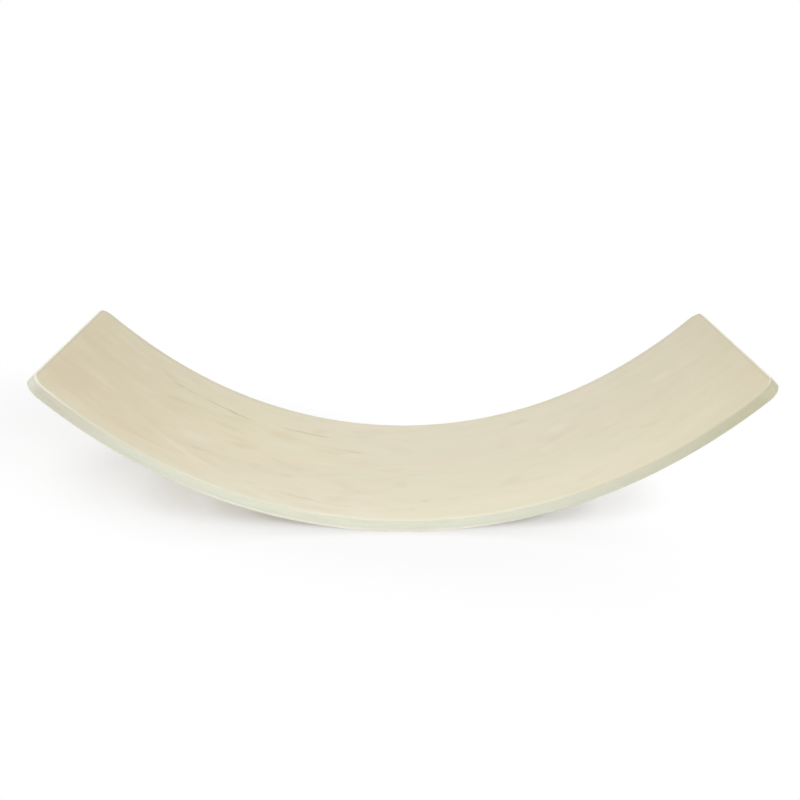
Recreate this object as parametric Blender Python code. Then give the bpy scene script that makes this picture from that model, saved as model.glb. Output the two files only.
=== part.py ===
"""A press-bent plywood rocker board: nine veneers glued up over a curved former.

Metres, +Z up. X runs along the board and Y across it. The origin is the middle of the
underside, where the board touches the floor at rest, with both ends curving up.
The panel is shaped while it lies flat, its underside at z = 0, then sliced into its veneers,
and each veneer is pressed on to the former.
"""

import bisect
import math

import bmesh
import bpy
from mathutils import Vector

# The panel, measured along its underside before it is pressed
BOARD_WIDTH = 0.300
ROCKER_LENGTH = 0.600
TIP_LENGTH = 0.1455
CORNER_RADIUS = 0.018
ARRIS_RADIUS = 0.002

# The former: one radius under the middle, and a slacker one under each tip
ROCKER_RADIUS = 0.557
TIP_RADIUS = 0.628

# The lay-up
VENEER_COUNT = 9
VENEER_THICKNESS = 0.00155
GLUE_LINE = 0.0001

# Facets. The rocker takes an odd number of them, so that one lies flat on the floor.
ROCKER_FACETS_EACH_SIDE = 30
TIP_FACETS = 15
CORNER_FACETS = 8
ARRIS_FACETS = 4

BOARD_LENGTH = ROCKER_LENGTH + 2 * TIP_LENGTH
VENEER_PITCH = VENEER_THICKNESS + GLUE_LINE
BOARD_THICKNESS = VENEER_COUNT * VENEER_PITCH - GLUE_LINE
ROCKER_FACETS = 2 * ROCKER_FACETS_EACH_SIDE + 1
ROCKER_FACET_LENGTH = ROCKER_LENGTH / ROCKER_FACETS

# A rounding never takes more than this share of the edge that it runs along.
MOST_OF_AN_EDGE = 0.45
# Cut points nearer than this to a corner that is already there use that corner.
CUT_TOLERANCE = 1e-6

COLLECTION = "balance_seesaw"
FACE_COLOUR = (0.75, 0.68, 0.53, 1.0)
LONG_EDGE_COLOUR = (0.74, 0.74, 0.63, 1.0)
CROSS_EDGE_COLOUR = (0.67, 0.67, 0.56, 1.0)
LACQUER_ROUGHNESS = 0.42
SHARP_ANGLE = math.radians(25)


def clear_scene():
    for obj in list(bpy.data.objects):
        bpy.data.objects.remove(obj, do_unlink=True)


def on_former(along, height):
    """Where a point of the flat panel comes to lie, given its distance along the underside and its height."""
    reach = abs(along)
    if reach <= ROCKER_LENGTH / 2:
        angle = reach / ROCKER_RADIUS
        x = ROCKER_RADIUS * math.sin(angle)
        z = ROCKER_RADIUS * (1 - math.cos(angle))
    else:
        meet = ROCKER_LENGTH / 2 / ROCKER_RADIUS
        angle = meet + (reach - ROCKER_LENGTH / 2) / TIP_RADIUS
        x = ROCKER_RADIUS * math.sin(meet) + TIP_RADIUS * (math.sin(angle) - math.sin(meet))
        z = ROCKER_RADIUS * (1 - math.cos(meet)) + TIP_RADIUS * (math.cos(meet) - math.cos(angle))
    x -= height * math.sin(angle)
    z += height * math.cos(angle)
    return Vector((math.copysign(x, along), 0, z))


def bend_lines():
    """How far along the underside each bend between two facets lies, from one end to the other."""
    half = [ROCKER_FACET_LENGTH * (i + 0.5) for i in range(ROCKER_FACETS_EACH_SIDE + 1)]
    half += [ROCKER_LENGTH / 2 + TIP_LENGTH * (i + 1) / TIP_FACETS for i in range(TIP_FACETS)]
    return [-s for s in reversed(half)] + half


BENDS = bend_lines()
# The middle facet is a chord of the rocker's arc, and it is the facet that stands on z = 0.
FOOT_HEIGHT = on_former(ROCKER_FACET_LENGTH / 2, 0).z


def pressed(point):
    """A point of the flat panel after pressing. Between two bends the panel stays flat."""
    i = min(max(bisect.bisect_right(BENDS, point.x), 1), len(BENDS) - 1)
    start, end = BENDS[i - 1], BENDS[i]
    share = (point.x - start) / (end - start)
    place = on_former(start, point.z).lerp(on_former(end, point.z), share)
    return Vector((place.x, point.y, place.z - FOOT_HEIGHT))


def flat_panel():
    """The whole panel laid flat, with its corners rounded in plan and its arrises eased."""
    bm = bmesh.new()
    bmesh.ops.create_cube(bm, size=1.0)
    bmesh.ops.scale(bm, verts=bm.verts, vec=(BOARD_LENGTH, BOARD_WIDTH, BOARD_THICKNESS))
    bmesh.ops.translate(bm, verts=bm.verts, vec=(0, 0, BOARD_THICKNESS / 2))
    uprights = [e for e in bm.edges if is_upright(e)]
    radius = min(CORNER_RADIUS, MOST_OF_AN_EDGE * min(BOARD_WIDTH, BOARD_LENGTH))
    round_edges(bm, uprights, radius, CORNER_FACETS)
    rims = [e for e in bm.edges if not is_upright(e)]
    round_edges(bm, rims, min(ARRIS_RADIUS, MOST_OF_AN_EDGE * BOARD_THICKNESS), ARRIS_FACETS)
    return bm


def is_upright(edge):
    return abs(edge.verts[0].co.z - edge.verts[1].co.z) > BOARD_THICKNESS / 2


def round_edges(bm, edges, radius, facets):
    bmesh.ops.bevel(
        bm,
        geom=edges,
        offset=radius,
        offset_type="OFFSET",
        segments=facets,
        profile=0.5,
        affect="EDGES",
    )


def cut(bm, place, normal, drop_outside=False):
    """Cuts across the mesh at a plane and gives back the edges that lie in the cut."""
    found = bmesh.ops.bisect_plane(
        bm,
        geom=bm.verts[:] + bm.edges[:] + bm.faces[:],
        dist=CUT_TOLERANCE,
        plane_co=place,
        plane_no=normal,
        clear_outer=drop_outside,
    )
    return [g for g in found["geom_cut"] if isinstance(g, bmesh.types.BMEdge)]


def slice_veneer(bm, number):
    """Leaves only the veneer of that number, counted from 1 at the underside."""
    low = (number - 1) * VENEER_PITCH
    high = low + VENEER_THICKNESS
    if number > 1:
        bmesh.ops.edgeloop_fill(bm, edges=cut(bm, (0, 0, low), (0, 0, -1), drop_outside=True))
    if number < VENEER_COUNT:
        bmesh.ops.edgeloop_fill(bm, edges=cut(bm, (0, 0, high), (0, 0, 1), drop_outside=True))


def veneer_name(number):
    if number == 1:
        return "bottom_face_veneer"
    if number == VENEER_COUNT:
        return "top_face_veneer"
    if 2 * number == VENEER_COUNT + 1:
        return f"centre_veneer_{number}"
    return f"cross_veneer_{number}" if number % 2 == 0 else f"long_veneer_{number}"


def veneer_colour(number):
    if number in (1, VENEER_COUNT):
        return FACE_COLOUR
    return CROSS_EDGE_COLOUR if number % 2 == 0 else LONG_EDGE_COLOUR


def lacquered_wood(name, colour):
    material = bpy.data.materials.new(name)
    material.use_nodes = True
    shader = material.node_tree.nodes["Principled BSDF"]
    shader.inputs["Base Color"].default_value = colour
    shader.inputs["Roughness"].default_value = LACQUER_ROUGHNESS
    shader.inputs["Metallic"].default_value = 0.0
    material.diffuse_color = colour
    return material


def make_veneer(number, collection, board):
    """One veneer, shaped flat with the rest of the panel and then pressed."""
    bm = flat_panel()
    slice_veneer(bm, number)
    for along in BENDS[1:-1]:
        cut(bm, (along, 0, 0), (1, 0, 0))
    for vert in bm.verts:
        vert.co = pressed(vert.co)
    bmesh.ops.recalc_face_normals(bm, faces=bm.faces)
    name = veneer_name(number)
    mesh = bpy.data.meshes.new(name)
    bm.to_mesh(mesh)
    bm.free()
    mesh.materials.append(lacquered_wood(name, veneer_colour(number)))
    mesh.shade_smooth()
    mesh.set_sharp_from_angle(angle=SHARP_ANGLE)
    obj = bpy.data.objects.new(name, mesh)
    obj.parent = board
    collection.objects.link(obj)
    return obj


def main():
    clear_scene()
    collection = bpy.data.collections.new(COLLECTION)
    bpy.context.scene.collection.children.link(collection)
    board = bpy.data.objects.new("board", None)
    collection.objects.link(board)
    for number in range(1, VENEER_COUNT + 1):
        make_veneer(number, collection, board)


main()
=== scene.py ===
"""The looks of a press-bent plywood rocker board: pale lacquered veneer, sealed ply edges, soft studio light.

Metres, +Z up, X along the board. Each veneer is shaped while the panel lies flat, keeps its flat
place as an attribute for the grain to follow, and is then pressed along the former's curve.
"""

import math

import bmesh
import bpy
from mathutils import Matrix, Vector


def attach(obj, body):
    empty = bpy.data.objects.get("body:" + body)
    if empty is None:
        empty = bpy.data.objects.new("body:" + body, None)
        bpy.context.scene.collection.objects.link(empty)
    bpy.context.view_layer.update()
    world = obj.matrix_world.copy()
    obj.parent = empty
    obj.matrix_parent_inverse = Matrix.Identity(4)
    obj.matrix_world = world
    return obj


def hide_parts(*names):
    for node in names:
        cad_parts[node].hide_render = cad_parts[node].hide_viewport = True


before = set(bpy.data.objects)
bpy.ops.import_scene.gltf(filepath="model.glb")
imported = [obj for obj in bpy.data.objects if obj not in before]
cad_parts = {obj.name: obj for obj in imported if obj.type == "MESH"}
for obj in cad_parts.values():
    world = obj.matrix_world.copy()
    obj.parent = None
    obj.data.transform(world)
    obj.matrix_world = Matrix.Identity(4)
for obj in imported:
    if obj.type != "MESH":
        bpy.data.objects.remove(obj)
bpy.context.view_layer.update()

# The panel, measured along its underside before it is pressed
BOARD_WIDTH = 0.300
ROCKER_LENGTH = 0.600
TIP_LENGTH = 0.1455
CORNER_RADIUS = 0.018
ARRIS_RADIUS = 0.002
ROCKER_RADIUS = 0.557
TIP_RADIUS = 0.628

# The lay-up
VENEER_COUNT = 9
VENEER_THICKNESS = 0.00155
GLUE_LINE = 0.0001
EDGE_SANDING = 0.00002
GLUE_RECESS = 0.00003

BOARD_LENGTH = ROCKER_LENGTH + 2 * TIP_LENGTH
VENEER_PITCH = VENEER_THICKNESS + GLUE_LINE
BOARD_THICKNESS = VENEER_COUNT * VENEER_PITCH - GLUE_LINE

# How finely the panel is cut across for the press, and how round its corners, arrises and former are
ROCKER_STRIPS = 120
TIP_STRIPS = 28
CORNER_FACETS = 14
ARRIS_FACETS = 5
FORMER_STEPS = 64
CUT_TOLERANCE = 1e-6
SMOOTH_UNDER = math.radians(35)

# The attribute that holds each point's place in the flat panel: along, across and up
FLAT_PLACE = "flat_place"


def shown(red, green, blue):
    """A colour as it shows on a screen, 0 to 255, turned by the sRGB formula into what a shader takes."""
    values = [v / 255 for v in (red, green, blue)]
    return tuple(v / 12.92 if v <= 0.04045 else ((v + 0.055) / 1.055) ** 2.4 for v in values) + (1.0,)


# Selecting and editing


def select_only(obj):
    bpy.ops.object.select_all(action="DESELECT")
    obj.select_set(True)
    bpy.context.view_layer.objects.active = obj


def pick_edges(obj, wanted):
    """In edit mode, leaves only the edges selected for which wanted(edge) holds."""
    bpy.ops.mesh.select_mode(type="EDGE")
    bpy.ops.mesh.select_all(action="DESELECT")
    shape = bmesh.from_edit_mesh(obj.data)
    for edge in shape.edges:
        edge.select_set(wanted(edge))
    bmesh.update_edit_mesh(obj.data)


def is_upright(edge):
    return abs(edge.verts[0].co.z - edge.verts[1].co.z) > BOARD_THICKNESS / 2


def cut_across(place, normal, drop_outside=False):
    """In edit mode, cuts the whole mesh at a plane, and can take off what lies outside and close the cut."""
    bpy.ops.mesh.select_all(action="SELECT")
    bpy.ops.mesh.bisect(
        plane_co=place,
        plane_no=normal,
        threshold=CUT_TOLERANCE,
        use_fill=drop_outside,
        clear_outer=drop_outside,
    )


# The board's shape


def flat_panel():
    """The whole panel laid flat, with its corners rounded in plan and its arrises eased."""
    bpy.ops.object.select_all(action="DESELECT")
    bpy.ops.mesh.primitive_cube_add(size=1, location=(0, 0, BOARD_THICKNESS / 2))
    panel = bpy.context.object
    panel.name = "flat_panel"
    panel.scale = (BOARD_LENGTH, BOARD_WIDTH, BOARD_THICKNESS)
    bpy.ops.object.transform_apply(location=True, rotation=False, scale=True)
    bpy.ops.object.mode_set(mode="EDIT")
    pick_edges(panel, is_upright)
    bpy.ops.mesh.bevel(offset=CORNER_RADIUS, segments=CORNER_FACETS, affect="EDGES")
    pick_edges(panel, lambda edge: not is_upright(edge))
    bpy.ops.mesh.bevel(offset=ARRIS_RADIUS, segments=ARRIS_FACETS, affect="EDGES")
    bpy.ops.object.mode_set(mode="OBJECT")
    return panel


def arc_handle(radius, angle):
    """The length of a Bezier handle that makes the curve follow an arc."""
    return 4 / 3 * math.tan(angle / 4) * radius


def former_curve():
    """The line that the underside is pressed along: a tip arc, the rocker's arc in two halves, a tip arc."""
    meet = ROCKER_LENGTH / 2 / ROCKER_RADIUS
    end = meet + TIP_LENGTH / TIP_RADIUS
    meet_place = (ROCKER_RADIUS * math.sin(meet), ROCKER_RADIUS * (1 - math.cos(meet)))
    end_place = (
        meet_place[0] + TIP_RADIUS * (math.sin(end) - math.sin(meet)),
        meet_place[1] + TIP_RADIUS * (math.cos(meet) - math.cos(end)),
    )
    rocker_handle = arc_handle(ROCKER_RADIUS, meet)
    tip_handle = arc_handle(TIP_RADIUS, end - meet)
    # Each point's place, its slope, and the lengths of its left and right handles
    points = [
        ((-end_place[0], end_place[1]), -end, tip_handle, tip_handle),
        ((-meet_place[0], meet_place[1]), -meet, tip_handle, rocker_handle),
        ((0, 0), 0, rocker_handle, rocker_handle),
        (meet_place, meet, rocker_handle, tip_handle),
        (end_place, end, tip_handle, tip_handle),
    ]
    bpy.ops.object.select_all(action="DESELECT")
    bpy.ops.curve.primitive_bezier_curve_add(location=(0, 0, 0))
    former = bpy.context.object
    former.name = "former"
    former.data.resolution_u = FORMER_STEPS
    former.data.twist_mode = "Z_UP"
    line = former.data.splines[0]
    line.bezier_points.add(len(points) - len(line.bezier_points))
    for bezier, (place, slope, left, right) in zip(line.bezier_points, points):
        along = (math.cos(slope), math.sin(slope))
        bezier.handle_left_type = "FREE"
        bezier.handle_right_type = "FREE"
        bezier.co = (place[0], 0, place[1])
        bezier.handle_left = (place[0] - along[0] * left, 0, place[1] - along[1] * left)
        bezier.handle_right = (place[0] + along[0] * right, 0, place[1] + along[1] * right)
    return former


def strip_lines():
    """Where the flat panel is cut across, so that it can bend smoothly."""
    left = -BOARD_LENGTH / 2
    tip = [left + TIP_LENGTH * i / TIP_STRIPS for i in range(1, TIP_STRIPS + 1)]
    rocker = [-ROCKER_LENGTH / 2 + ROCKER_LENGTH * i / ROCKER_STRIPS for i in range(1, ROCKER_STRIPS)]
    return tip + rocker + [-s for s in reversed(tip)]


def layer_of(panel, name, low, high):
    """A copy of the flat panel, cut down to what lies between two heights."""
    select_only(panel)
    bpy.ops.object.duplicate()
    layer = bpy.context.object
    layer.name = name
    layer.data.name = name
    bpy.ops.object.mode_set(mode="EDIT")
    bpy.ops.mesh.select_mode(type="FACE")
    if low > 0:
        cut_across((0, 0, low), (0, 0, -1), drop_outside=True)
    if high < BOARD_THICKNESS - GLUE_LINE / 2:
        cut_across((0, 0, high), (0, 0, 1), drop_outside=True)
    for along in strip_lines():
        cut_across((along, 0, 0), (1, 0, 0))
    bpy.ops.object.mode_set(mode="OBJECT")
    return layer


def draw_in(layer, depth):
    """Makes the flat layer a little shorter and narrower, so that its edge lies back by a depth all round."""
    layer.scale = (1 - 2 * depth / BOARD_LENGTH, 1 - 2 * depth / BOARD_WIDTH, 1)
    bpy.ops.object.transform_apply(location=False, rotation=False, scale=True)


def keep_flat_place(layer):
    attribute = layer.data.attributes.new(FLAT_PLACE, "FLOAT_VECTOR", "POINT")
    for vert, value in zip(layer.data.vertices, attribute.data):
        value.vector = vert.co


def press(layer, former):
    """Bends the flat layer along the former."""
    select_only(layer)
    bpy.ops.object.mode_set(mode="EDIT")
    bpy.ops.mesh.select_all(action="SELECT")
    bpy.ops.transform.translate(value=(BOARD_LENGTH / 2, 0, 0))
    bpy.ops.object.mode_set(mode="OBJECT")
    bend = layer.modifiers.new("press", "CURVE")
    bend.object = former
    bend.deform_axis = "POS_X"
    bpy.ops.object.modifier_apply(modifier=bend.name)
    bpy.ops.object.mode_set(mode="EDIT")
    bpy.ops.mesh.select_all(action="SELECT")
    bpy.ops.mesh.normals_make_consistent(inside=False)
    bpy.ops.object.mode_set(mode="OBJECT")
    bpy.ops.object.shade_smooth_by_angle(angle=SMOOTH_UNDER)


def pressed_layer(panel, former, name, low, thickness, finish, depth=EDGE_SANDING):
    layer = layer_of(panel, name, low, low + thickness)
    draw_in(layer, depth)
    keep_flat_place(layer)
    press(layer, former)
    layer.data.materials.append(finish)
    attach(layer, "root")
    return layer


# Building shader nodes

# A span is where a change begins and where it ends, and then its strengths there if these aren't 0 and 1.
# A window is a pair of spans: it opens over the first and closes over the second.


class Nodes:
    """Adds nodes to one material or group. Each call takes numbers or sockets and gives back a socket."""

    def __init__(self, tree):
        self.tree = tree

    def add(self, kind, inputs, **settings):
        node = self.tree.nodes.new(kind)
        for name, value in settings.items():
            setattr(node, name, value)
        for name, value in inputs.items():
            self.put(node.inputs[name], value)
        return node

    def put(self, socket, value):
        if isinstance(value, bpy.types.NodeSocket):
            self.tree.links.new(value, socket)
        else:
            socket.default_value = value

    def reckon(self, operation, *values):
        return self.add("ShaderNodeMath", dict(enumerate(values)), operation=operation).outputs[0]

    def sum(self, a, b):
        return self.reckon("ADD", a, b)

    def times(self, a, b):
        return self.reckon("MULTIPLY", a, b)

    def quotient(self, a, b):
        return self.reckon("DIVIDE", a, b)

    def power(self, a, b):
        return self.reckon("POWER", a, b)

    def largest(self, a, b):
        return self.reckon("MAXIMUM", a, b)

    def absolute(self, a):
        return self.reckon("ABSOLUTE", a)

    def fraction(self, a):
        return self.reckon("FRACT", a)

    def whole(self, a):
        return self.reckon("FLOOR", a)

    def remap(self, value, low, high, to_low=0.0, to_high=1.0, smooth=False):
        inputs = {"Value": value, "From Min": low, "From Max": high, "To Min": to_low, "To Max": to_high}
        kind = "SMOOTHSTEP" if smooth else "LINEAR"
        return self.add("ShaderNodeMapRange", inputs, interpolation_type=kind).outputs[0]

    def window(self, value, spans, smooth=False):
        opens, closes = spans
        return self.times(self.remap(value, *opens, smooth=smooth), self.remap(value, *closes, smooth=smooth))

    def blend(self, factor, a, b):
        inputs = {"Factor": factor, "A": a, "B": b}
        return self.add("ShaderNodeMix", inputs, data_type="RGBA").outputs["Result"]

    def towards(self, colour, tone, value, span, smooth=False):
        """Turns a colour into a tone as the value passes a span."""
        return self.blend(self.remap(value, *span, smooth=smooth), colour, tone)

    def reckon_place(self, operation, a, b):
        return self.add("ShaderNodeVectorMath", {0: a, 1: b}, operation=operation).outputs[0]

    def shift(self, place, by):
        return self.reckon_place("ADD", place, by)

    def stretch(self, place, size):
        """Divides a place by a size, so that what is drawn there has about that size."""
        return self.reckon_place("DIVIDE", place, size)

    def length(self, place):
        return self.add("ShaderNodeVectorMath", {0: place}, operation="LENGTH").outputs["Value"]

    def split(self, place):
        return self.add("ShaderNodeSeparateXYZ", {0: place}).outputs

    def join(self, x, y, z):
        return self.add("ShaderNodeCombineXYZ", {0: x, 1: y, 2: z}).outputs[0]

    def noise(self, place, size, detail=2.0, roughness=0.5):
        """Noise whose shapes are about as long, wide and high as the size says."""
        inputs = {"Vector": self.stretch(place, size), "Scale": 1.0, "Detail": detail, "Roughness": roughness}
        return self.add("ShaderNodeTexNoise", inputs).outputs[0]

    def random_by(self, value):
        return self.add("ShaderNodeTexWhiteNoise", {"W": value}, noise_dimensions="1D").outputs["Value"]

    def bump(self, height, distance, strength):
        inputs = {"Height": height, "Distance": distance, "Strength": strength}
        return self.add("ShaderNodeBump", inputs).outputs[0]

    def flat_place(self):
        return self.add("ShaderNodeAttribute", {}, attribute_name=FLAT_PLACE).outputs["Vector"]

    def seen_plainly(self):
        """1 for what the camera sees, straight or in a reflection or through glass, and 0 for other light."""
        ray = self.add("ShaderNodeLightPath", {}).outputs
        mirrored = self.largest(ray["Is Glossy Ray"], ray["Is Transmission Ray"])
        return self.largest(ray["Is Camera Ray"], mirrored)

    def use(self, tree, **inputs):
        """Places a group; an input such as ring_gap goes to the socket Ring gap."""
        node = self.add("ShaderNodeGroup", {}, node_tree=tree)
        for name, value in inputs.items():
            self.put(node.inputs[name.replace("_", " ").capitalize()], value)
        return node.outputs


def new_group(name, inputs, outputs):
    """An empty shader group with named sockets: its nodes, its inputs to read and its outputs to fill."""
    tree = bpy.data.node_groups.new(name, "ShaderNodeTree")
    for socket_name, value in inputs.items():
        kind = "NodeSocketFloat" if isinstance(value, float) else "NodeSocketVector"
        tree.interface.new_socket(name=socket_name, in_out="INPUT", socket_type=kind).default_value = value
    for socket_name in outputs:
        tree.interface.new_socket(name=socket_name, in_out="OUTPUT", socket_type="NodeSocketFloat")
    given = tree.nodes.new("NodeGroupInput").outputs
    result = tree.nodes.new("NodeGroupOutput").inputs
    return Nodes(tree), given, result


# Wood

# How long, wide and high the shapes of the wood are
WANDER_SIZE = (0.20, 0.075, 0.075)
RAGGED_SIZE = (0.016, 0.0050, 0.0050)
FLAME_SIZE = (0.060, 0.022, 0.022)
TONE_SIZE = (0.30, 0.11, 0.11)
HUE_SIZE = (0.050, 0.026, 0.026)
PATCH_SIZE = (0.046, 0.022, 0.022)
FINE_FIBRE_SIZE = (0.030, 0.0006, 0.0006)
BROAD_FIBRE_SIZE = (0.110, 0.0032, 0.0032)
PORE_SIZE = (0.0028, 0.00032, 0.00032)
DRIFT_SIZE = (0.018, 0.0055, 0.0055)
BLOTCH_SIZE = (0.045, 0.045, 0.004)
SPECKLE_SIZE = (0.006, 0.006, 0.006)

# How a ring's age turns into late and early wood, and which noise makes a flame or a pore
FLAME_SPAN = (0.46, 0.62)
LATE_SPAN = (1.0, 0.96)
LATE_SHARPNESS = 7.0
EARLY_SPAN = (1.0, 0.04)
EARLY_SHARPNESS = 3.5
PORE_SPAN = (0.66, 0.78)

# A mark's softness, from its rim inwards
MARK_SPAN = (1.0, 0.2)


def figure_group():
    """The figure of a peeled veneer: broken flames of late and early wood, and soft patches between them."""
    inputs = {"Place": (0.0, 0.0, 0.0), "Ring gap": 0.06, "Wander": 2.4, "Ragged": 0.05}
    outputs = ["Late wood", "Early wood", "Tone", "Hue", "Patches"]
    nodes, given, result = new_group("veneer figure", inputs, outputs)
    place = given["Place"]
    wander = nodes.noise(place, WANDER_SIZE, detail=3.0)
    ragged = nodes.noise(place, RAGGED_SIZE)
    across = nodes.quotient(nodes.split(place)["Y"], given["Ring gap"])
    rings = nodes.sum(nodes.times(wander, given["Wander"]), nodes.times(across, -1.0))
    rings = nodes.sum(rings, nodes.times(ragged, given["Ragged"]))
    age = nodes.fraction(rings)
    strong = nodes.remap(nodes.noise(place, FLAME_SIZE), *FLAME_SPAN, smooth=True)
    late = nodes.times(nodes.power(age, LATE_SHARPNESS), nodes.remap(age, *LATE_SPAN))
    early = nodes.power(nodes.remap(age, *EARLY_SPAN), EARLY_SHARPNESS)
    nodes.put(result["Late wood"], nodes.times(late, strong))
    nodes.put(result["Early wood"], nodes.times(early, strong))
    nodes.put(result["Tone"], nodes.noise(place, TONE_SIZE, detail=3.0, roughness=0.6))
    nodes.put(result["Hue"], nodes.noise(place, HUE_SIZE))
    nodes.put(result["Patches"], nodes.noise(place, PATCH_SIZE, detail=3.0))
    return nodes.tree


def fibre_group():
    """Fine wood fibres that run along the first axis of the place: streaks and pores, both from 0 to 1."""
    inputs = {"Place": (0.0, 0.0, 0.0), "Coarseness": 1.0}
    nodes, given, result = new_group("wood fibres", inputs, ["Streaks", "Pores"])
    coarseness = given["Coarseness"]
    place = nodes.stretch(given["Place"], nodes.join(coarseness, coarseness, coarseness))
    fine = nodes.noise(place, FINE_FIBRE_SIZE, roughness=0.6)
    broad = nodes.noise(place, BROAD_FIBRE_SIZE)
    pores = nodes.noise(place, PORE_SIZE, detail=0.0)
    nodes.put(result["Streaks"], nodes.sum(nodes.times(fine, 0.5), nodes.times(broad, 0.5)))
    nodes.put(result["Pores"], nodes.remap(pores, *PORE_SPAN))
    return nodes.tree


def mark_group():
    """One soft oval mark in the wood, from 1 at its heart to 0 at its rim, at a centre in the flat panel."""
    inputs = {"Place": (0.0, 0.0, 0.0), "Centre": (0.0, 0.0, 0.0), "Size": (0.05, 0.002, 1.0), "Slope": 0.0}
    nodes, given, result = new_group("wood mark", inputs, ["Strength"])
    parts = nodes.split(nodes.reckon_place("SUBTRACT", given["Place"], given["Centre"]))
    lean = nodes.times(nodes.times(parts["X"], given["Slope"]), -1.0)
    placed = nodes.stretch(nodes.join(parts["X"], nodes.sum(parts["Y"], lean), 0.0), given["Size"])
    nodes.put(result["Strength"], nodes.remap(nodes.length(placed), *MARK_SPAN, smooth=True))
    return nodes.tree


# Marks on the upper face: centre along and across, half length, half width, slope, strength
DARK_MARKS = [
    ((-0.232, 0.0750), 0.054, 0.0046, -0.09, 0.72),
    ((-0.298, 0.0780), 0.028, 0.0038, -0.03, 0.46),
    ((-0.127, 0.0795), 0.050, 0.0042, 0.0, 0.42),
    ((-0.156, 0.0510), 0.034, 0.0150, 0.0, 0.17),
    ((-0.067, 0.0425), 0.026, 0.0046, -0.14, 0.28),
    ((-0.296, 0.0330), 0.026, 0.0120, 0.30, 0.22),
    ((-0.226, 0.0225), 0.030, 0.0095, 0.0, 0.20),
    ((-0.200, -0.0175), 0.026, 0.0100, 0.18, 0.20),
    ((-0.250, -0.0730), 0.032, 0.0056, 0.25, 0.20),
    ((-0.140, -0.0665), 0.016, 0.0060, 0.25, 0.16),
    ((-0.118, -0.1175), 0.046, 0.0044, -0.10, 0.28),
    ((-0.105, -0.1380), 0.055, 0.0090, 0.0, 0.14),
    ((-0.002, -0.0525), 0.014, 0.0130, 0.0, 0.14),
    ((0.027, -0.1010), 0.008, 0.0060, 0.0, 0.13),
    ((0.012, -0.1230), 0.009, 0.0050, 0.0, 0.13),
    ((0.162, 0.1025), 0.024, 0.0120, 0.0, 0.17),
    ((0.132, -0.0740), 0.020, 0.0120, 0.10, 0.16),
    ((0.198, 0.0140), 0.018, 0.0100, 0.20, 0.13),
    ((0.308, -0.0600), 0.020, 0.0100, -0.30, 0.15),
]
PALE_MARKS = [
    ((-0.147, 0.0190), 0.036, 0.0120, 0.0, 0.72),
    ((-0.258, -0.0470), 0.030, 0.0210, 0.15, 0.52),
    ((-0.063, 0.0290), 0.021, 0.0085, 0.0, 0.52),
    ((-0.098, -0.0090), 0.020, 0.0080, 0.05, 0.56),
    ((-0.262, -0.0960), 0.056, 0.0090, -0.32, 0.40),
    ((0.164, 0.0850), 0.024, 0.0120, -0.10, 0.48),
    ((0.205, 0.0400), 0.019, 0.0190, 0.0, 0.52),
    ((0.182, -0.0100), 0.018, 0.0140, 0.0, 0.36),
    ((0.352, 0.0460), 0.018, 0.0150, 0.0, 0.36),
    ((0.270, 0.0000), 0.020, 0.0140, 0.3, 0.30),
]

# Colours
FACE_ROSY = shown(237, 226, 201)
FACE_STRAW = shown(234, 227, 199)
# Painted shade: the face's deeper tones towards both ends, where the wings tilt away from the light
FACE_END_SHADE = shown(219, 205, 169)
FACE_END_SHADE_RIGHT = shown(222, 212, 183)
FACE_GOLDEN = shown(239, 228, 190)
FACE_NEAR_LEFT = shown(231, 230, 210)
# Painted shade on the near margin of the right half
FACE_NEAR_RIGHT_SHADE = shown(218, 212, 182)
FACE_LATE_WOOD = shown(206, 191, 158)
FACE_EARLY_WOOD = shown(240, 233, 210)
FACE_MINERAL = shown(201, 183, 148)
EDGE_LONG = shown(230, 230, 213)
EDGE_ACROSS = shown(229, 229, 212)
# Painted shade on the edge towards both ends, and painted light on its corners
EDGE_LEFT_SHADED = shown(221, 217, 197)
EDGE_RIGHT_SHADED = shown(218, 213, 181)
CORNER_LEFT_LIT = shown(246, 241, 230)
CORNER_RIGHT_LIT = shown(242, 236, 202)
# Painted shade beside where the board meets the floor
EDGE_CONTACT_SHADE = shown(206, 205, 190)
ARRIS_CREAM = shown(231, 228, 204)
# Painted light: the arrises' highlights, and the lower rim lit from the floor; and painted shade on the arris
# on the right
ARRIS_HIGHLIGHT = shown(252, 249, 234)
ARRIS_SHADED = shown(228, 221, 195)
EDGE_DARK = shown(196, 196, 172)
GLUE_COLOUR = shown(223, 223, 205)

# Lacquer
FACE_COAT = 0.12
EDGE_COAT = 0.08
GLUE_COAT = 0.0
COAT_ROUGHNESS = 0.32


def lacquered(name, coat):
    """A new material with a thin clear lacquer over it."""
    material = bpy.data.materials.new(name)
    material.use_nodes = True
    shader = material.node_tree.nodes["Principled BSDF"]
    shader.inputs["Coat Weight"].default_value = coat
    shader.inputs["Coat Roughness"].default_value = COAT_ROUGHNESS
    return material, Nodes(material.node_tree), shader.inputs


# The edge's tones along the board: painted shade towards the ends, and painted light on the corners and
# arrises
EDGE_RIGHT_SHADED_SPAN = (0.14, 0.45)
EDGE_LEFT_SHADED_SPAN = (-0.31, -0.40)
CORNER_RIGHT_LIT_SPAN = (0.420, 0.436)
CORNER_LEFT_LIT_SPAN = (-0.426, -0.440)
ARRIS_SHADED_SPAN = (0.13, 0.22)
ARRIS_HIGHLIGHT_SPAN = (-0.370, -0.442)

# The upper arris: the heights between which it turns into the flat edge, how much lower these are on the
# right, and the share of the top veneer's thickness over which the face turns into it
ARRIS_FOOT_SPAN = (0.0144, 0.0116)
ARRIS_DROP_SPAN = (0.12, 0.30, 0.0, 0.0009)
ARRIS_DEPTH_SPAN = (0.0, 0.12)

# The ends of the upper face, measured inwards from the end: a painted highlight on their arris and a dark
# line beside it
END_HIGHLIGHT_SPAN = (0.0019, 0.0012)
END_LINE_WINDOW = ((0.0016, 0.0024), (0.0055, 0.0032))
END_LINE_STRENGTH = 0.30
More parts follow.
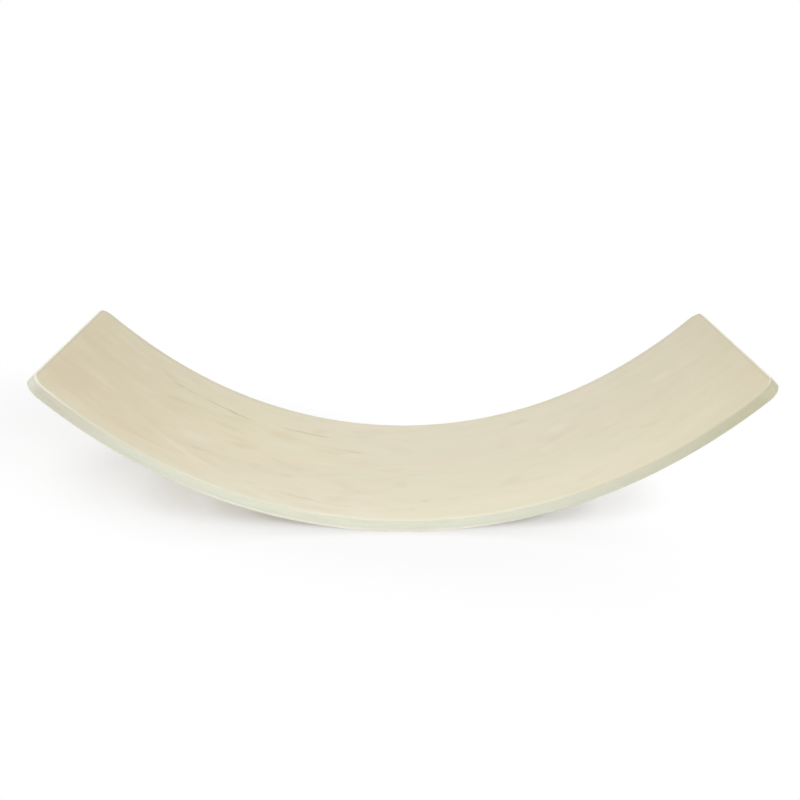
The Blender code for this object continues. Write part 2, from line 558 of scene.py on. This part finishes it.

# The lowest part of the edge, by height and by how far along it reaches from the middle: painted shade, a
# painted pale line of light from the floor, and painted contact shade
SHADE_HEIGHTS = ((0.0055, 0.0040), (0.0028, 0.0036))
SHADE_STRENGTH = 0.10
LINE_HEIGHTS = ((0.0040, 0.0032), (0.0014, 0.0022))
LINE_PLACES = ((-0.26, -0.20), (0.15, 0.08))
LINE_STRENGTH = 0.45
CONTACT_HEIGHT_SPAN = (0.0024, 0.0016)
CONTACT_REACH_SPAN = (0.16, 0.05)
CONTACT_STRENGTH = 0.9
CONTACT_SHADE_HEIGHT_SPAN = (0.0012, 0.0006)
CONTACT_SHADE_REACHES = ((0.055, 0.09), (0.21, 0.15))
UNDER_ARRIS_SPAN = (0.0001, 0.0007)


def along_edge(nodes, parts, colour):
    """The sealed edge's colour along the board: painted shade makes it warmer and darker towards both ends,
    and painted light makes the corners pale.
    """
    colour = nodes.towards(colour, EDGE_RIGHT_SHADED, parts["X"], EDGE_RIGHT_SHADED_SPAN, smooth=True)
    colour = nodes.towards(colour, EDGE_LEFT_SHADED, parts["X"], EDGE_LEFT_SHADED_SPAN, smooth=True)
    colour = nodes.towards(colour, CORNER_RIGHT_LIT, parts["X"], CORNER_RIGHT_LIT_SPAN)
    return nodes.towards(colour, CORNER_LEFT_LIT, parts["X"], CORNER_LEFT_LIT_SPAN)


def arris_line(nodes, parts):
    """The colour of the upper arris: a painted highlight at the left end, and painted shade that dims it on
    the right.
    """
    colour = nodes.towards(ARRIS_CREAM, ARRIS_SHADED, parts["X"], ARRIS_SHADED_SPAN, smooth=True)
    return nodes.towards(colour, ARRIS_HIGHLIGHT, parts["X"], ARRIS_HIGHLIGHT_SPAN, smooth=True)


def below_arris(nodes, parts):
    """How far a place is below the upper arris, which is broader on the right: 0 on it and 1 well below."""
    height = nodes.sum(parts["Z"], nodes.remap(parts["X"], *ARRIS_DROP_SPAN))
    return nodes.remap(height, *ARRIS_FOOT_SPAN, smooth=True)


def upper_rim(nodes, parts, colour):
    """The upper face's sanded arris, with its painted highlight and shade and a painted highlight at both
    ends, and under it the edge's tone with its painted shade and light.
    """
    depth = nodes.remap(parts["Z"], BOARD_THICKNESS, BOARD_THICKNESS - VENEER_THICKNESS)
    end_gap = nodes.sum(BOARD_LENGTH / 2, nodes.times(nodes.absolute(parts["X"]), -1.0))
    beside_end = nodes.window(end_gap, END_LINE_WINDOW)
    colour = nodes.blend(nodes.times(beside_end, END_LINE_STRENGTH), colour, EDGE_DARK)
    colour = nodes.towards(colour, arris_line(nodes, parts), depth, ARRIS_DEPTH_SPAN)
    colour = nodes.towards(colour, ARRIS_HIGHLIGHT, end_gap, END_HIGHLIGHT_SPAN)
    return nodes.blend(below_arris(nodes, parts), colour, along_edge(nodes, parts, EDGE_LONG))


def low_rim(nodes, parts, colour):
    """The lowest part of the edge: a soft painted shade, a painted pale line of light from the floor over the
    middle, and the very bottom.
    """
    reach = nodes.absolute(parts["X"])
    # A soft painted shade above the lower arris
    shade = nodes.window(parts["Z"], SHADE_HEIGHTS)
    colour = nodes.blend(nodes.times(shade, SHADE_STRENGTH), colour, EDGE_DARK)
    # Over the middle of the board the lower arris shows a pale line, painted light reflected from the floor
    middle = nodes.window(parts["X"], LINE_PLACES)
    line = nodes.window(parts["Z"], LINE_HEIGHTS)
    colour = nodes.blend(nodes.times(nodes.times(line, middle), LINE_STRENGTH), colour, ARRIS_HIGHLIGHT)
    # Where the board meets the floor its very bottom is painted pale with light from the floor, and beside
    # that it is dim with painted shade
    contact = nodes.times(nodes.remap(reach, *CONTACT_REACH_SPAN, smooth=True), CONTACT_STRENGTH)
    contact = nodes.times(nodes.remap(parts["Z"], *CONTACT_HEIGHT_SPAN), contact)
    colour = nodes.blend(contact, colour, ARRIS_HIGHLIGHT)
    beside = nodes.window(reach, CONTACT_SHADE_REACHES, smooth=True)
    return nodes.blend(nodes.times(nodes.remap(parts["Z"], *CONTACT_SHADE_HEIGHT_SPAN), beside), colour, EDGE_CONTACT_SHADE)


def under_rim(nodes, parts, colour):
    """The under face's arris takes the sealed edge's colour, with its painted light and shade."""
    edge = low_rim(nodes, parts, along_edge(nodes, parts, EDGE_LONG))
    return nodes.towards(colour, edge, parts["Z"], UNDER_ARRIS_SPAN, smooth=True)


# The faces: their figure, and their tones along and across the board, with painted shade towards the ends and
# margins
FACE_FIGURE = {"ring_gap": 0.062, "wander": 2.4, "ragged": 0.10}
FACE_COARSENESS = 1.0
TONE_SHARE = 0.6
HUE_SHARE = 0.4
HUE_SPAN = (0.40, 0.60)
PALEST_PLACE = 0.015
# Painted shade towards both ends and at the right end
END_SHADE_SPAN = (0.12, 0.46, 0.0, 0.66)
END_SHADE_RIGHT_SPAN = (0.0, 0.2)
RIGHT_TIP_SHADE_SPAN = (0.385, 0.445, 0.0, 0.22)
GOLDEN_PLACES = ((-0.34, -0.23), (-0.03, -0.14))
GOLDEN_ROWS = ((-0.08, 0.0), (0.06, 0.13, 1.0, 0.5))
GOLDEN_STRENGTH = 0.42
NEAR_EDGE_SPAN = (-0.118, -0.148, 0.0, 0.25)
NEAR_RIGHT_SPAN = (0.02, 0.16)
FAR_EDGE_SPAN = (0.133, 0.144)
FAR_REACH_SPAN = (0.07, 0.22, 0.0, 0.23)

# How strongly the figure, its patches, the fibres and the pores show, and how far the marks' outlines waver
LIVELY_SPAN = (-0.05, 0.10, 0.9, 0.55)
LATE_STRENGTH = 0.16
EARLY_STRENGTH = 0.20
DARK_PATCH_SPAN = (0.48, 0.30, 0.0, 0.18)
PALE_PATCH_SPAN = (0.52, 0.70, 0.0, 0.26)
DARK_STREAK_SPAN = (0.50, 0.30, 0.0, 0.055)
PALE_STREAK_SPAN = (0.50, 0.70, 0.0, 0.07)
PORE_STRENGTH = 0.07
DRIFT_SPAN = (0.2, 0.8, -0.0035, 0.0035)

# The faces' sheen and relief, from their fibres
FACE_ROUGHNESS_SPAN = (0.3, 0.7, 0.54, 0.44)
FACE_PORE_DEPTH = 0.6
FACE_RELIEF_HEIGHT = 0.00012
FACE_RELIEF_STRENGTH = 0.35


def face_ground(nodes, parts, reach, figure):
    """The face's own cream, with painted shade that deepens it towards both ends and more at the right end,
    and more golden halfway up the left half.
    """
    hue = nodes.sum(nodes.times(figure["Tone"], TONE_SHARE), nodes.times(figure["Hue"], HUE_SHARE))
    colour = nodes.towards(FACE_ROSY, FACE_STRAW, hue, HUE_SPAN)
    end_shade = nodes.towards(FACE_END_SHADE, FACE_END_SHADE_RIGHT, parts["X"], END_SHADE_RIGHT_SPAN)
    colour = nodes.towards(colour, end_shade, reach, END_SHADE_SPAN, smooth=True)
    # Painted shade: the right end darkens towards the late wood's colour
    colour = nodes.towards(colour, FACE_LATE_WOOD, parts["X"], RIGHT_TIP_SHADE_SPAN)
    golden = nodes.times(nodes.window(parts["X"], GOLDEN_PLACES), nodes.window(parts["Y"], GOLDEN_ROWS))
    return nodes.blend(nodes.times(golden, GOLDEN_STRENGTH), colour, FACE_GOLDEN)


def face_figure(nodes, parts, colour, figure, fibres):
    """Late and early wood with their patches, livelier on the left half, and over them fibres and pores."""
    lively = nodes.remap(parts["X"], *LIVELY_SPAN, smooth=True)
    dark_patches = nodes.remap(figure["Patches"], *DARK_PATCH_SPAN)
    pale_patches = nodes.remap(figure["Patches"], *PALE_PATCH_SPAN)
    darker = nodes.sum(nodes.times(figure["Late wood"], LATE_STRENGTH), dark_patches)
    paler = nodes.sum(nodes.times(figure["Early wood"], EARLY_STRENGTH), pale_patches)
    colour = nodes.blend(nodes.times(darker, lively), colour, FACE_LATE_WOOD)
    colour = nodes.blend(nodes.times(paler, lively), colour, FACE_EARLY_WOOD)
    colour = nodes.towards(colour, FACE_LATE_WOOD, fibres["Streaks"], DARK_STREAK_SPAN)
    colour = nodes.towards(colour, FACE_EARLY_WOOD, fibres["Streaks"], PALE_STREAK_SPAN)
    return nodes.blend(nodes.times(fibres["Pores"], PORE_STRENGTH), colour, FACE_MINERAL)


def face_margins(nodes, parts, reach, colour):
    """Towards its long edges the face is a little greener on the near left, and darker elsewhere, which is
    painted shade.
    """
    near = nodes.towards(FACE_NEAR_LEFT, FACE_NEAR_RIGHT_SHADE, parts["X"], NEAR_RIGHT_SPAN, smooth=True)
    colour = nodes.towards(colour, near, parts["Y"], NEAR_EDGE_SPAN, smooth=True)
    # Painted shade along the far arris, which faces away from the light
    far_edge_shade = nodes.remap(parts["Y"], *FAR_EDGE_SPAN, smooth=True)
    far_edge_shade = nodes.times(far_edge_shade, nodes.remap(reach, *FAR_REACH_SPAN))
    return nodes.blend(far_edge_shade, colour, EDGE_DARK)


def face_marks(nodes, mark_tree, place, parts, colour, dark_marks, pale_marks):
    """The pale and then the dark marks of this veneer, whose outlines waver with the wood."""
    drift = nodes.remap(nodes.noise(place, DRIFT_SIZE, detail=3.0), *DRIFT_SPAN)
    wavered = nodes.join(parts["X"], nodes.sum(parts["Y"], drift), 0.0)
    for marks, mark_colour in ((pale_marks, FACE_EARLY_WOOD), (dark_marks, FACE_MINERAL)):
        for centre, half_length, half_width, slope, strength in marks:
            size = (half_length, half_width, 1.0)
            mark = nodes.use(mark_tree, place=wavered, centre=(*centre, 0.0), size=size, slope=slope)
            colour = nodes.blend(nodes.times(mark["Strength"], strength), colour, mark_colour)
    return colour


def face_finish(name, groups, shift, dark_marks, pale_marks, rim):
    """Face veneer: cream wood that turns to its rim's colours at the arris, under a satin lacquer."""
    material, nodes, surface = lacquered(name, FACE_COAT)
    place = nodes.flat_place()
    parts = nodes.split(place)
    wood_place = nodes.shift(place, shift)
    figure = nodes.use(groups["figure"], place=wood_place, **FACE_FIGURE)
    fibres = nodes.use(groups["fibres"], place=wood_place, coarseness=FACE_COARSENESS)
    reach = nodes.absolute(nodes.sum(parts["X"], -PALEST_PLACE))
    colour = face_ground(nodes, parts, reach, figure)
    colour = face_figure(nodes, parts, colour, figure, fibres)
    colour = face_margins(nodes, parts, reach, colour)
    colour = face_marks(nodes, groups["mark"], place, parts, colour, dark_marks, pale_marks)
    nodes.put(surface["Base Color"], rim(nodes, parts, colour))
    nodes.put(surface["Roughness"], nodes.remap(fibres["Streaks"], *FACE_ROUGHNESS_SPAN))
    relief = nodes.sum(fibres["Streaks"], nodes.times(fibres["Pores"], -FACE_PORE_DEPTH))
    nodes.put(surface["Normal"], nodes.bump(relief, FACE_RELIEF_HEIGHT, FACE_RELIEF_STRENGTH))
    return material


# The core veneers' edges: their fibres, how far one veneer's tone may be from another's, and their relief
CORE_COARSENESS = 0.6
CORE_TONE_STEP = 0.03
CORE_BLOTCH_SPAN = (0.42, 0.70, 0.0, 0.14)
CORE_STREAK_SPAN = (0.52, 0.30, 0.0, 0.30)
CORE_PORE_STRENGTH = 0.25
CORE_ROUGHNESS_SPAN = (0.3, 0.7, 0.60, 0.48)
CORE_PORE_DEPTH = 1.0
CORE_RELIEF_HEIGHT = 0.00015
CORE_RELIEF_STRENGTH = 0.4


def core_finish(name, groups, colour, is_across):
    """A core veneer's sealed edge: fibres along it or end grain, a tone of its own for each veneer, and the
    edge's painted light and shade along the board, at the arris and at the lower rim.
    """
    material, nodes, surface = lacquered(name, EDGE_COAT)
    place = nodes.flat_place()
    parts = nodes.split(place)
    grain_place = nodes.join(parts["Y"], parts["X"], parts["Z"]) if is_across else place
    fibres = nodes.use(groups["fibres"], place=grain_place, coarseness=CORE_COARSENESS)
    layer = nodes.whole(nodes.times(parts["Z"], 1 / VENEER_PITCH))
    own_tone = nodes.times(nodes.random_by(layer), CORE_TONE_STEP)
    blotch = nodes.remap(nodes.noise(place, BLOTCH_SIZE, detail=3.0), *CORE_BLOTCH_SPAN)
    tone = nodes.blend(nodes.sum(own_tone, blotch), along_edge(nodes, parts, colour), EDGE_DARK)
    # Painted highlight and shade at the upper arris, then the lower rim's painted light and shade
    tone = nodes.blend(below_arris(nodes, parts), arris_line(nodes, parts), tone)
    tone = low_rim(nodes, parts, tone)
    tone = nodes.towards(tone, EDGE_DARK, fibres["Streaks"], CORE_STREAK_SPAN)
    tone = nodes.blend(nodes.times(fibres["Pores"], CORE_PORE_STRENGTH), tone, EDGE_DARK)
    nodes.put(surface["Base Color"], tone)
    nodes.put(surface["Roughness"], nodes.remap(fibres["Streaks"], *CORE_ROUGHNESS_SPAN))
    relief = nodes.sum(fibres["Streaks"], nodes.times(fibres["Pores"], -CORE_PORE_DEPTH))
    nodes.put(surface["Normal"], nodes.bump(relief, CORE_RELIEF_HEIGHT, CORE_RELIEF_STRENGTH))
    return material


# The glue's specks, which are darker and rougher
GLUE_SPECK_SPAN = (0.35, 0.65)
GLUE_ROUGHNESS_SPAN = (0.3, 0.7, 0.5, 0.7)


def glue_finish():
    """The hair-thin glue film between two veneers."""
    material, nodes, surface = lacquered("glue_line", GLUE_COAT)
    speckle = nodes.noise(nodes.flat_place(), SPECKLE_SIZE, detail=3.0)
    nodes.put(surface["Base Color"], nodes.towards(GLUE_COLOUR, EDGE_DARK, speckle, GLUE_SPECK_SPAN))
    nodes.put(surface["Roughness"], nodes.remap(speckle, *GLUE_ROUGHNESS_SPAN))
    return material


# The pieces

# Each veneer's node and slot, from the floor up
VENEERS = [
    ("bottom_face_veneer", "face_veneer"),
    ("cross_veneer_2", "cross_veneer"),
    ("long_veneer_3", "long_veneer"),
    ("cross_veneer_4", "cross_veneer"),
    ("centre_veneer_5", "long_veneer"),
    ("cross_veneer_6", "cross_veneer"),
    ("long_veneer_7", "long_veneer"),
    ("cross_veneer_8", "cross_veneer"),
    ("top_face_veneer", "face_veneer"),
]

# Where in the wood each face's figure is taken from, so that the two differ
UNDER_SHIFT = (2.3, 1.1, 0.4)
UPPER_SHIFT = (0.0, 0.0, 0.0)


def build_board():
    groups = {"figure": figure_group(), "fibres": fibre_group(), "mark": mark_group()}
    under = face_finish("under_face_wood", groups, UNDER_SHIFT, [], [], under_rim)
    upper = face_finish("upper_face_wood", groups, UPPER_SHIFT, DARK_MARKS, PALE_MARKS, upper_rim)
    long_edge = core_finish("long_veneer_edge", groups, EDGE_LONG, is_across=False)
    across_edge = core_finish("cross_veneer_edge", groups, EDGE_ACROSS, is_across=True)
    finishes = {"face_veneer": upper, "long_veneer": long_edge, "cross_veneer": across_edge}
    glue = glue_finish()
    panel = flat_panel()
    former = former_curve()
    for i, (node, slot) in enumerate(VENEERS):
        low = i * VENEER_PITCH
        finish = finishes[slot] if i else under
        veneer = pressed_layer(panel, former, node + "_finished", low, VENEER_THICKNESS, finish)
        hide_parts(node)
        if i < VENEER_COUNT - 1:
            top = low + VENEER_THICKNESS
            depth = EDGE_SANDING + GLUE_RECESS
            pressed_layer(panel, former, f"glue_line_{i + 1}", top, GLUE_LINE, glue, depth)
    bpy.data.objects.remove(panel)
    bpy.data.objects.remove(former)


# The studio

FLOOR_SIZE = 12.0
WHITE = (1, 1, 1, 1)
PAPER_COLOUR = (0.86, 0.86, 0.86, 1)
PAPER_BOUNCE_WARM = (0.88, 0.82, 0.71, 1)
PAPER_SPECK = (0.7, 0.7, 0.7, 1)
PAPER_TOOTH_SIZE = (0.004, 0.004, 0.004)
PAPER_TOOTH_SPAN = (0.3, 0.7, 0.0, 0.01)
# Where the paper shows its own tone and its lamp-cast shadows, which painted white lightens within these and
# hides beyond them:
# centre, half sizes, turn, the share of it that is full, squareness and strength
SHADES = [
    ((-0.231, 0.063), (0.691, 0.254), math.radians(34.4), 0.14, 2.0, 0.397),
    ((-0.008, -0.015), (0.337, 0.136), 0.0, 0.737, 3.0, 0.249),
    ((0.0, -0.010), (0.240, 0.136), 0.0, 0.837, 4.0, 0.261),
    ((-0.003, -0.086), (0.184, 0.063), 0.0, 0.88, 2.0, 0.40),
]
# The part of the shadow painted with warm light reflected from the board above it, given in the same way
WARM_BOUNCE_SHADE = ((-0.01, -0.015), (0.42, 0.17), 0.0, 0.55, 2.0, 1.0)

WORLD_STRENGTH = 0.075
# The lamps: name, place, the point that it faces, size and power
SOFTBOXES = [
    ("overhead_softbox", (0.1, -0.5, 6.0), (0, 0, 0), 5.0, 107),
    ("back_softbox", (0.0, 2.5, 5.4), (0, 0, 0), 3.0, 174),
    ("front_softbox", (0.0, -0.85, 0.13), (0, -0.15, 0.03), 0.36, 2.82),
    ("left_softbox", (-0.45, -0.85, 0.13), (-0.1, -0.15, 0.03), 0.36, 0.60),
    ("left_end_softbox", (-1.6, -0.25, 0.25), (-0.39, -0.13, 0.15), 0.5, 5.0),
    ("right_end_softbox", (1.6, -0.25, 0.25), (0.39, -0.13, 0.15), 0.5, 3.2),
]

CAMERA_PLACE = (-0.0146, -1.2187, 0.5232)
CAMERA_DEGREES = (70.958, -0.449, -0.401)
CAMERA_LENS = 48.206
CAMERA_SENSOR = 36.0


def soft_oval(nodes, place, centre, size, turn, inner, squareness, strength):
    """A patch of the floor: its strength over its inner part, fading to nothing at its rim."""
    centred = nodes.shift(place, (-centre[0], -centre[1], 0.0))
    inputs = {"Vector": centred, "Angle": turn}
    turned = nodes.add("ShaderNodeVectorRotate", inputs, rotation_type="Z_AXIS").outputs[0]
    parts = nodes.split(nodes.stretch(turned, (*size, 1.0)))
    along = nodes.power(nodes.absolute(parts["X"]), squareness)
    across = nodes.power(nodes.absolute(parts["Y"]), squareness)
    reach = nodes.power(nodes.sum(along, across), 1 / squareness)
    return nodes.remap(reach, inner, 1.0, strength, 0.0, smooth=True)


def paper_finish():
    """Plain pale paper that keeps the board's shadow, lightened to the camera by painted white within the
    shade ovals, and plain white to the camera further off.
    """
    material = bpy.data.materials.new("studio_paper")
    material.use_nodes = True
    nodes = Nodes(material.node_tree)
    material.node_tree.nodes.clear()
    place = nodes.add("ShaderNodeTexCoord", {}).outputs["Object"]
    whiteness = 1.0
    for shade in SHADES:
        unshaded = nodes.sum(1.0, nodes.times(soft_oval(nodes, place, *shade), -1.0))
        whiteness = nodes.times(whiteness, unshaded)
    seen = nodes.seen_plainly()
    # Painted warm light from the board in the shadow, seen only by the camera
    warm = soft_oval(nodes, place, *WARM_BOUNCE_SHADE)
    tint = nodes.blend(nodes.times(seen, warm), PAPER_COLOUR, PAPER_BOUNCE_WARM)
    tint = nodes.towards(tint, PAPER_SPECK, nodes.noise(place, PAPER_TOOTH_SIZE), PAPER_TOOTH_SPAN)
    paper = nodes.add("ShaderNodeBsdfDiffuse", {"Color": tint}).outputs[0]
    white = nodes.add("ShaderNodeEmission", {"Color": WHITE, "Strength": 1.0}).outputs[0]
    mix = nodes.add("ShaderNodeMixShader", {0: nodes.times(seen, whiteness), 1: paper, 2: white}).outputs[0]
    nodes.add("ShaderNodeOutputMaterial", {"Surface": mix})
    return material


def lay_floor():
    bpy.ops.object.select_all(action="DESELECT")
    bpy.ops.mesh.primitive_plane_add(size=FLOOR_SIZE, location=(0, 0, 0))
    floor = bpy.context.object
    floor.name = "studio_floor"
    floor.data.materials.append(paper_finish())


def light_world():
    """Faint light from all round; to the camera and in reflections the studio's walls are plain white."""
    world = bpy.data.worlds.new("studio")
    bpy.context.scene.world = world
    world.use_nodes = True
    nodes = Nodes(world.node_tree)
    world.node_tree.nodes.clear()
    seen = nodes.seen_plainly()
    light = nodes.add("ShaderNodeBackground", {"Color": WHITE, "Strength": WORLD_STRENGTH}).outputs[0]
    white = nodes.add("ShaderNodeBackground", {"Color": WHITE, "Strength": 1.0}).outputs[0]
    mix = nodes.add("ShaderNodeMixShader", {0: seen, 1: light, 2: white}).outputs[0]
    nodes.add("ShaderNodeOutputWorld", {"Surface": mix})


def softbox(name, place, aim, size, watts):
    """A square lamp at a place, turned to face a point and unseen by the camera."""
    data = bpy.data.lights.new(name, "AREA")
    data.shape = "SQUARE"
    data.size = size
    data.energy = watts
    lamp = bpy.data.objects.new(name, data)
    bpy.context.scene.collection.objects.link(lamp)
    lamp.location = place
    lamp.rotation_euler = (Vector(aim) - Vector(place)).to_track_quat("-Z", "Y").to_euler()
    lamp.visible_camera = False


def set_camera():
    data = bpy.data.cameras.new("camera")
    data.sensor_width = CAMERA_SENSOR
    data.lens = CAMERA_LENS
    camera = bpy.data.objects.new("camera", data)
    bpy.context.scene.collection.objects.link(camera)
    camera.location = CAMERA_PLACE
    camera.rotation_euler = [math.radians(a) for a in CAMERA_DEGREES]
    bpy.context.scene.camera = camera


build_board()
lay_floor()
light_world()
for lamp_row in SOFTBOXES:
    softbox(*lamp_row)
set_camera()
bpy.context.scene.view_settings.view_transform = "Standard"
